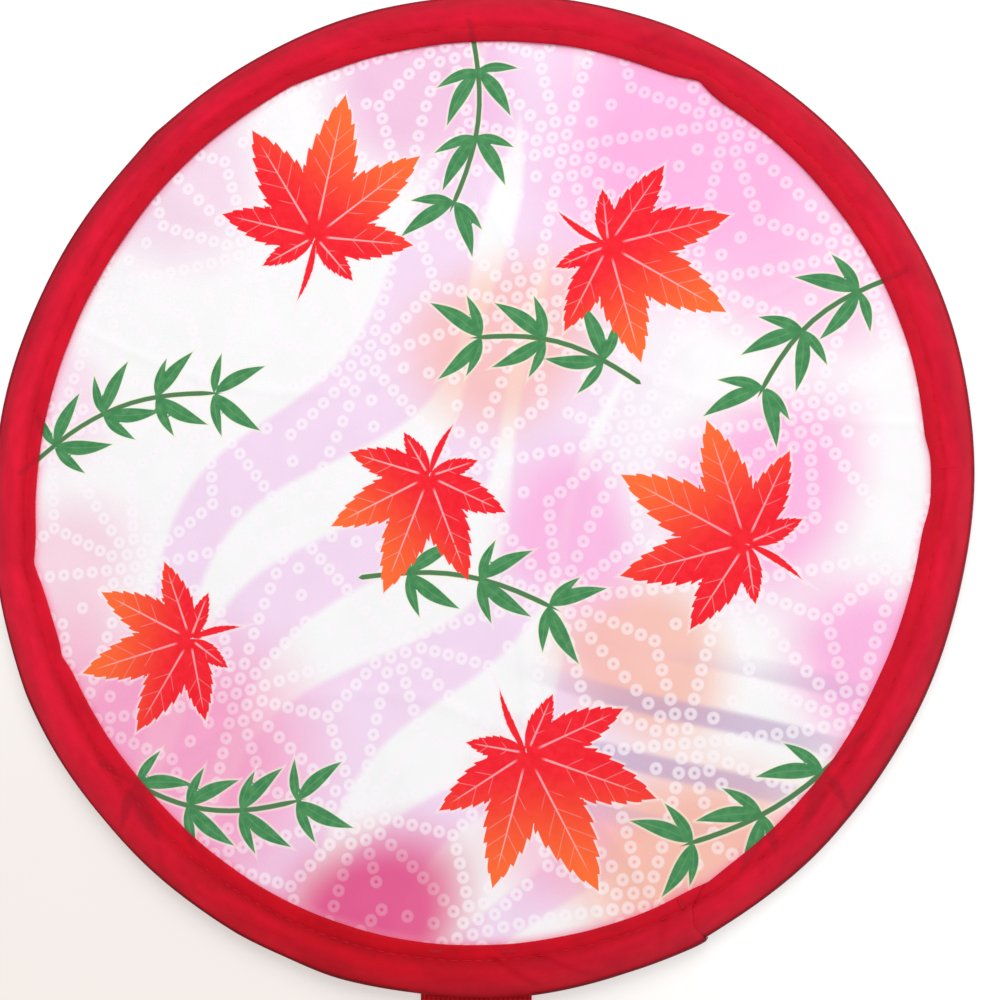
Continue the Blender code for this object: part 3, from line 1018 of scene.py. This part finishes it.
def tape_strip(name, start, end):
    """The tape's line spun between two angles, with each vertex's way along the line and its number in it."""
    line = tape_line()
    shape = bmesh.new()
    place = shape.verts.layers.float.new("across")
    part = shape.verts.layers.float.new("part")
    corners = []
    across = 0.0
    for k, (r, z) in enumerate(line):
        if k:
            across += math.dist(line[k - 1], line[k])
        corner = shape.verts.new((r, 0, z))
        corner[place] = across
        corner[part] = k
        corners.append(corner)
    edges = [shape.edges.new(pair) for pair in zip(corners, corners[1:])]
    turn = Matrix.Rotation(math.radians(start), 4, "Z")
    bmesh.ops.transform(shape, matrix=turn, verts=corners)
    bmesh.ops.spin(shape, geom=corners + edges, axis=(0, 0, 1), cent=(0, 0, 0),
                   angle=math.radians(end - start), steps=round((end - start) / TAPE_STEP))
    bmesh.ops.recalc_face_normals(shape, faces=shape.faces)
    return to_mesh(shape, name)


def tape_creases(angle, radius, off_seam):
    """The height of the tape's slanting creases, each a groove with a low ridge beside it."""
    height = np.zeros(len(angle))
    for middle, slant, depth in TAPE_CREASES:
        way = turned(angle, middle) - slant * (radius - 0.1145)
        long_way = np.clip(1 - (np.abs(off_seam - 3.0) / 4.6) ** 2, 0, 1)
        height = height - depth * np.exp(-(way / 0.55) ** 2) * long_way
        height = height + 0.6 * depth * np.exp(-((way - 1.1) / 0.7) ** 2) * long_way
    return height


def tape_painted_light(angle, y, off_seam, outer):
    """Painted light and shade on the tape round the rim and across it, as the photo shows it: lighter towards
    the top, darker towards the bottom, and varied across it by angle.
    """
    tone = 0.86 + 0.16 * ease(-0.11, 0.05, y)
    tone = tone * (1 - 0.15 * hump(angle, 262, 34))
    tone = tone * (1 + (0.04 - 0.16 * cosd(angle - 75)) * ease(0.4, -0.6, off_seam))
    tone = tone * (1 - 0.11 * hump(angle, 70, 88, 4) * np.exp(-((off_seam - 3.4) / 1.9) ** 2))
    tone = tone * (1 + 0.09 * (1 - hump(angle, 268, 30)) * np.exp(-((off_seam - 1.0) / 2.2) ** 2))
    tone = tone * (1 - (0.05 + 0.24 * hump(angle, 148, 36)) * outer)
    return tone * (1 + 0.08 * hump(angle, 262, 88, 4) * outer)


def shade_tape(mesh, angle, radius, track, x, y, crease, on_top, band_way):
    """Writes each place's painted crease shade and painted light and shade, how much the hoop's edge shows
    through it with painted shade on the outer wall, and how much the print shows through it.
    """
    part = get_attribute(mesh, "part")
    off_seam = (radius - HEM_IN - SEAM_IN) / MILLIMETRE
    # painted shade along the seam's crease, and in the slanting creases
    fold = np.exp(-(off_seam / 0.90) ** 2) * np.clip(0.55 + 0.70 * rough(track, 0.009, 9.1), 0, 1) * on_top
    fold = fold * (1 - 0.6 * hump(angle, 0, 62, 4)) + np.clip(-crease / 0.00035, 0, 0.5)
    # The hoop's dark edge seen through the tape, with painted shade of the outer wall: lean moves the line
    # from the crown's outer corner down the wall round the rim, and it is fainter where the band lies.
    lean = (0.5 - 0.5 * cosd(angle + 27)) ** 0.6
    hoop_edge = ease(TOP_COUNT - 3.6 - 2.4 * lean, TOP_COUNT - 1.4 - 2.8 * lean, part)
    hoop_edge = hoop_edge * ease(TOP_COUNT + 6, TOP_COUNT + 1, part) * (0.62 + 0.14 * rough(track, 0.03, 2.2))
    hoop_edge = hoop_edge * (1 - 0.75 * band_way)
    outer = ease(RADIUS - 0.0046, RADIUS - 0.0018, radius) * on_top
    shown = ease(0.5, -0.3, print_distance(np.stack([x, y], 1) / MILLIMETRE)) * 0.42 * on_top
    set_attribute(mesh, "fold", np.clip(fold, 0, 1))
    set_attribute(mesh, "hoop_edge", np.clip(hoop_edge, 0, 1))
    # painted light and shade round the rim, darker towards the bottom
    set_attribute(mesh, "tone", tape_painted_light(angle, y, off_seam, outer))
    # painted shade on the green and blue at the bottom, which deepens the red there
    set_attribute(mesh, "pure", 1 - 0.45 * hump(angle, 258, 34))
    set_attribute(mesh, "print_under", shown)


def drop_hidden(mesh, hidden):
    """Takes away what would lie in the ply under it, and turns the strip's face upwards."""
    shape = bmesh.new()
    shape.from_mesh(mesh)
    shape.verts.ensure_lookup_table()
    bmesh.ops.delete(shape, geom=[shape.verts[k] for k in np.nonzero(hidden)[0]], context="VERTS")
    highest = max(shape.faces, key=lambda face: face.calc_center_median().z)
    if highest.normal.z < 0:
        bmesh.ops.reverse_faces(shape, faces=shape.faces)
    shape.to_mesh(mesh)
    shape.free()


def make_tape(name, side, start, end, look, lapped=False):
    """A length of the folded tape between two angles, with its wander, puckers and creases."""
    mesh = tape_strip(name, start, end)
    across = get_attribute(mesh, "across")
    part = get_attribute(mesh, "part")
    points = positions(mesh)
    radius = np.hypot(points[:, 0], points[:, 1])
    angle = start + turned(bearings(points), start) % 360
    angle = np.where(angle > end + 1, angle - 360, angle)
    last_column = angle > end - TAPE_STEP / 2
    if lapped:
        slant = np.interp(radius, (HEM_IN, HEM_IN + 0.0044, RADIUS - 0.003, RADIUS), (3.0, 0.3, -0.5, 0.1))
        angle = angle + slant * ease(LAP_END - 7, LAP_END, angle) * (part < TOP_COUNT + 5)
    crown = RADIUS - CROWN_IN
    squeeze = (crown - hem_radius(angle)) / (crown - HEM_IN)
    outside = ease(crown, RADIUS, radius)
    moved = np.where(radius < crown, crown - (crown - radius) * squeeze, radius) + wall_push(angle) * outside
    moved = moved + hoop_swell(angle) * ease(HEM_IN + SEAM_IN, RADIUS - 0.0010, radius)
    on_top = ease(TOP_COUNT + 1, TOP_COUNT - 6, part)
    arc = np.radians(angle) * RADIUS
    track = np.stack([arc, moved, np.zeros(len(arc))], 1)
    off_seam = (radius - HEM_IN - SEAM_IN) / MILLIMETRE
    pucker = np.sin(math.tau * arc / PUCKER_PITCH + 2.5 * rough(track, 0.02, 1.3))
    pucker = pucker * np.exp(-(off_seam / 1.5) ** 2)
    drape = rough(track * np.array([1, 2.4, 1]), 0.011, 4.4)
    drape = drape * ease(0, 2.5, off_seam) * ease(7.4, 4.6, off_seam)
    crease = tape_creases(angle, radius, off_seam)
    z = points[:, 2] + on_top * (0.00007 * pucker + 0.00010 * drape + crease) * (part > 2)
    if lapped:
        lift = lap_lift(angle)
        z = z + lift * ease(2.5, 5, part) * ease(TOP_COUNT + 2, TOP_COUNT - 6, part)
        z = z - 0.00022 * last_column * on_top * (part > 4)
        moved = moved + (lift * 1.35 - 0.0004 * last_column) * outside
    x = moved * cosd(angle)
    y = moved * sind(angle)
    beside = np.abs(x - (BAND_LOW.x + BAND_HIGH.x) / 2) - (BAND_HIGH.x - BAND_LOW.x) / 2
    band_way = ease(0.0022, 0, beside) * (y < 0)
    if side == "lower":
        z = np.where(part > TOP_COUNT, np.maximum(z, (PLY + 0.00006) * band_way), z)
    set_positions(mesh, np.stack([x, y + CENTRE_Y, z], 1))
    set_uv(mesh, "tape", np.stack([arc, across - SEAM_IN], 1))
    shade_tape(mesh, angle, radius, track, x, y, crease, on_top, band_way)
    drop_hidden(mesh, lapped & (part > TOP_COUNT + 4) & (angle > LAP_HIDDEN + 0.01))
    solid = thicken(mesh, TAPE_THICKNESS)
    piece = new_object(name, solid, look)
    keep_sharp(solid, 60)
    bend_across(piece)
    return piece


def make_binding(look):
    upper = make_tape("binding_tape_upper", "upper", 0, 180, look)
    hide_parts("binding_upper", "binding_left", "binding_right")
    lapped = make_tape("binding_tape_lapped", "lower", 180, LAP_END, look, lapped=True)
    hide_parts("binding_lap", "binding_lower", "binding_left")
    under = make_tape("binding_tape_under", "lower", LAP_HIDDEN, 360, look)
    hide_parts("binding_lower", "binding_right")


# Stitches and tacks


def add_stitch(shape, a, b, thickness):
    """One stitch of thread, a slim rounded grain from a to b."""
    run = b - a
    turn = run.to_track_quat("Z", "Y").to_matrix().to_4x4()
    size = Matrix.Diagonal((thickness / 2, thickness / 2, run.length / 2, 1))
    bmesh.ops.create_uvsphere(shape, u_segments=6, v_segments=5, radius=1,
                              matrix=Matrix.Translation((a + b) / 2) @ turn @ size)


def finish_thread(shape, name, look):
    mesh = to_mesh(shape, name)
    points = positions(mesh)
    set_uv(mesh, "thread", points[:, :2])
    piece = new_object(name, mesh, look)
    return piece


STITCH_LENGTH = 0.0023
STITCH_PITCH = 0.0029
THREAD = 0.00030


def make_seam(name, start, end, height, lapped, look):
    """A run of the hem's lockstitch between two angles, which can climb onto the tape's lapped end."""
    shape = bmesh.new()
    count = round(math.radians(end - start) * HEM_IN / STITCH_PITCH)
    half = math.degrees(STITCH_LENGTH / 2 / HEM_IN)
    for k in range(count):
        middle = start + (k + 0.5) * (end - start) / count
        ends = []
        for angle in (middle - half, middle + half):
            lift = float(lap_lift(angle)) if lapped else 0.0
            ends.append(ray(angle, float(seam_radius(angle)), height + lift))
        add_stitch(shape, ends[0], ends[1], THREAD)
    piece = finish_thread(shape, name, look)
    bend_across(piece)
    return piece


def make_seams(look):
    """The bobbin thread's stitches on the back and the needle thread's on the face, in five runs."""
    for side, start, end in (("upper", 0, 180), ("lower", 180, 360)):
        back = make_seam("bobbin_stitches_" + side, start, end, BOBBIN_HEIGHT, False, look)
        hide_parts("bobbin_thread_" + side, "bobbin_thread_left", "bobbin_thread_right")
    runs = (
        ("upper", 0, 180, ("upper", "left", "right")),
        ("lapped", 180, LAP_END - 1, ("lower_left", "lap", "left")),
        ("right", LAP_END + 0.6, 360, ("lower_right", "right")),
    )
    for run, start, end, threads in runs:
        face = make_seam("needle_stitches_" + run, start, end, NEEDLE_HEIGHT, run == "lapped", look)
        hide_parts(*["needle_thread_" + thread for thread in threads])


def make_tack(name, node, body, a, b, reach, turns, look):
    """A bar tack: thread that zigzags between a and b, reaching to each side of that line."""
    run = b - a
    side = Vector((-run.y, run.x, 0)).normalized() * reach / 2
    points = []
    for k in range(turns + 1):
        sign = 1 if k % 2 else -1
        points.append(a + run * k / turns + side * sign)
    shape = bmesh.new()
    for p, q in zip(points, points[1:]):
        add_stitch(shape, p, q, THREAD * 0.85)
    piece = finish_thread(shape, name, look)
    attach(piece, body)
    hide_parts(node)


def make_tacks(look):
    """The tack across the lapped end, the two at the band's root and the bar that closes the band's loop."""
    low = HEM_TOP + LAP_LIFT + THREAD * 0.2
    for node in ("root_tack_left", "root_tack_right", "lap_tack"):
        angle = node_angle(node)
        inner = float(hem_radius(angle))
        if node == "lap_tack":
            name = "lap_end_tack"
            a, b = ray(angle, inner + 0.0006, low), ray(angle, inner + 0.0032, low)
        else:
            name = node + "_zigzag"
            radius = inner + 0.0018
            spread = math.degrees(0.0017 / radius)
            a, b = ray(angle - spread, radius, low), ray(angle + spread, radius, low)
        make_tack(name, node, "lower_wing", a, b, 0.0011, 13, look)
    near_end, far_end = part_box("band_tack")
    y = (near_end.y + far_end.y) / 2
    z = 2 * PLY + 0.00008
    a, b = Vector((near_end.x, y, z)), Vector((far_end.x, y, z))
    make_tack("loop_bar_tack", "band_tack", "band", a, b, 0.0016, 74, look)


# The hoop

HOOP_THICKNESS = 0.0004
HOOP_ROUNDING = 0.00010
HOOP_STEPS = 240


def make_hoop(side, start, end, look, nodes):
    """Half of the sprung strip, a flat bar with rounded edges, on its true circle at the ferrule."""
    inner = HOOP_OUTER - HOOP_THICKNESS
    section = ((inner, HOOP_LOW), (HOOP_OUTER, HOOP_LOW), (HOOP_OUTER, HOOP_HIGH), (inner, HOOP_HIGH))
    shape = bmesh.new()
    shape.faces.new([shape.verts.new((r, 0, z)) for r, z in section])
    bmesh.ops.bevel(shape, geom=shape.verts[:], offset=HOOP_ROUNDING, offset_type="OFFSET", affect="VERTICES",
                    segments=2, profile=0.5, material=-1)
    turn = Matrix.Rotation(math.radians(start), 4, "Z")
    bmesh.ops.transform(shape, matrix=turn, verts=shape.verts[:])
    bmesh.ops.spin(shape, geom=shape.faces[:] + shape.edges[:] + shape.verts[:], axis=(0, 0, 1),
                   cent=(0, 0, 0), angle=math.radians(end - start), steps=HOOP_STEPS)
    bmesh.ops.recalc_face_normals(shape, faces=shape.faces)
    mesh = to_mesh(shape, "hoop_strip_" + side)
    points = positions(mesh)
    angle = bearings(points) % 360
    swell = hoop_swell(angle) * ease(5, 14, np.abs(turned(angle, node_angle("hoop_ferrule"))))
    points[:, :2] = points[:, :2] * (1 + swell / HOOP_OUTER)[:, None] + (0, CENTRE_Y)
    set_positions(mesh, points)
    piece = new_object("hoop_strip_" + side, mesh, look)
    keep_sharp(mesh, 40)
    bend_across(piece)
    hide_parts(*nodes)


# The closing band

BAND_CELLS = 54
LOOP_FLAT = 0.0350
LOOP_END = 0.0090
LOOP_STOP = 0.0011


def band_path():
    """The band's middle line in (y, z), from its sewn root round the loop and back, about 0.5 mm a step."""
    half = PLY / 2
    centre = (BAND_HIGH.z - PLY) / 2 + half
    bend = centre - half
    tip = BAND_LOW.y + bend + half
    path = [(ROOT_END_Y, half)]
    steps = round((ROOT_END_Y - tip) / 0.0006)
    for k in range(1, steps + 1):
        path.append((ROOT_END_Y + (tip - ROOT_END_Y) * k / steps, half))
    for k in range(1, 25):
        angle = math.pi * k / 24
        path.append((tip - bend * math.sin(angle), centre - bend * math.cos(angle)))
    top = centre + bend
    for share in np.linspace(0, 1, 32)[1:]:
        path.append((tip + (PIVOT_Y - LOOP_FLAT - tip) * share, top))
    for share in np.linspace(0, 1, 48)[1:]:
        y = PIVOT_Y - LOOP_FLAT + (LOOP_FLAT - LOOP_END) * share
        path.append((y, top + (PLY + half - top) * float(ease(0, 1, share))))
    for share in np.linspace(0, 1, 14)[1:]:
        path.append((PIVOT_Y - LOOP_END + (LOOP_END - LOOP_STOP) * share, PLY + half + 0.00003))
    return np.array(path)


def make_band(look):
    """One strip of ribbed elastic with rounded edges, from its root under the rim round its loop."""
    path = band_path()
    steps = len(path) - 1
    mesh = closed_grid("elastic_closing_band", BAND_CELLS, steps)
    grid = positions(mesh)
    width = BAND_HIGH.x - BAND_LOW.x
    across = grid[:, 0] * width / 2
    row = np.rint((grid[:, 1] + 1) / 2 * steps).astype(int)
    tangent = np.gradient(path, axis=0)
    tangent = tangent / np.linalg.norm(tangent, axis=1)[:, None]
    normal = np.stack([tangent[:, 1], -tangent[:, 0]], 1)
    run = np.concatenate([[0], np.cumsum(np.linalg.norm(np.diff(path, axis=0), axis=1))])
    edge = np.clip((np.abs(across) - width / 2 + PLY / 2) / (PLY / 2), 0, 1)
    depth = PLY / 2 * np.sqrt(1 - 0.92 * edge * edge) * np.where(grid[:, 2] < -0.5, -1, 1)
    selvedge = 1 - 0.10 * np.exp(-((np.abs(across) - width / 2 + 0.0022) / 0.0005) ** 2)
    depth = depth * selvedge
    place = path[row] + normal[row] * depth[:, None]
    x = (BAND_LOW.x + BAND_HIGH.x) / 2 + across
    set_positions(mesh, np.stack([x, place[:, 0], np.maximum(place[:, 1], 0)], 1))
    set_uv(mesh, "band", np.stack([across, run[row]], 1))
    face_out(mesh)
    piece = new_object("elastic_closing_band", mesh, look)
    keep_sharp(mesh, 50)
    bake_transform(piece)
    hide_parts("closing_band", "band_root")


# The table, the lamp and the camera

TABLE_DROP = 0.00005


def make_table():
    """The white table top, with painted shade that makes it a little warmer and greyer towards the lower left.
    """
    shape = bmesh.new()
    bmesh.ops.create_grid(shape, x_segments=2, y_segments=2, size=3)
    table = new_object("table_top", to_mesh(shape, "table_top"), table_look())
    table.location.z = -TABLE_DROP


def table_look():
    """White that glows a little where it is seen, so that its lightness follows the photo and not the lamp."""
    look = Look("white_table", 0.6, Specular_IOR_Level=0.1)
    place = look.node("TexCoord").outputs["Object"]
    x, y = look.parts(place)
    # painted shade: warmer and greyer towards the lower left
    corner = look.between(x * 0.55 + y * 0.83, -0.110, 0.0, 1, 0)
    share = corner * look.between(look.length(place), 0.18, 0.42, 1, 0)
    rays = look.node("LightPath").outputs
    seen = look.maths("MAXIMUM", rays["Is Camera Ray"], rays["Is Glossy Ray"])
    seen = look.maths("MAXIMUM", seen, rays["Is Transmission Ray"])
    look.put(look.shader.inputs["Emission Color"], look.mix(share, *TABLE_GLOW_AND_SHADE))
    look.put(look.shader.inputs["Emission Strength"], seen)
    return look.done(look.mix(share, *TABLE_WHITE_AND_SHADE))


def make_lamp(name, place, size, power, aim):
    lamp = bpy.data.lights.new(name, "AREA")
    lamp.shape = "DISK"
    lamp.size = size
    lamp.energy = power
    made = placed(name, lamp)
    made.location = place
    made.rotation_euler = (Vector(aim) - Vector(place)).to_track_quat("-Z", "Y").to_euler()


CAMERA_AIM = Vector((0.00886, 0.0261, 0))
CAMERA_WAY = 0.60
CAMERA_TILT = 15.27
CAMERA_TURN = -27.0
CAMERA_LENS = 90.72


def make_camera():
    """Over the fan and a little to the lower right, as the photo's camera was."""
    camera = bpy.data.cameras.new("camera")
    camera.lens = CAMERA_LENS
    camera.sensor_width = 36
    made = placed("camera", camera)
    slope = sind(CAMERA_TILT)
    back = Vector((slope * cosd(CAMERA_TURN), slope * sind(CAMERA_TURN), cosd(CAMERA_TILT)))
    right = Vector((0, 1, 0)).cross(back).normalized()
    up = back.cross(right)
    turn = Matrix((right, up, back)).transposed().to_4x4()
    made.matrix_world = Matrix.Translation(CAMERA_AIM + back * CAMERA_WAY) @ turn
    bpy.context.scene.camera = made


def make_studio():
    scene = bpy.context.scene
    scene.view_settings.view_transform = "Standard"
    world = bpy.data.worlds.new("studio")
    scene.world = world
    world.use_nodes = True
    back = world.node_tree.nodes["Background"]
    back.inputs["Color"].default_value = (1.0, 1.0, 1.0, 1)
    back.inputs["Strength"].default_value = 0.65
    make_lamp("key_lamp", (0.24, 0.58, 0.76), 0.80, 5.2, (0, 0.03, 0))
    make_table()
    make_camera()


make_studio()
CLOTH = printed_cloth_look()
TAPE = red_tape_look()
ELASTIC = elastic_look()
THREAD_LOOK = thread_look()
STEEL = steel_look()
make_hoop("upper", 0, 180, STEEL, ("hoop_upper", "hoop_left", "hoop_right"))
make_hoop("lower", 180, 360, STEEL, ("hoop_lower_left", "hoop_lower_right", "hoop_left", "hoop_right"))
ferrule = frame["nodes"]["hoop_ferrule"]
ferrule.data.materials.clear()
ferrule.data.materials.append(STEEL)
make_cloth("upper", CLOTH)
make_cloth("lower", CLOTH)
make_binding(TAPE)
make_seams(THREAD_LOOK)
make_tacks(THREAD_LOOK)
make_band(ELASTIC)
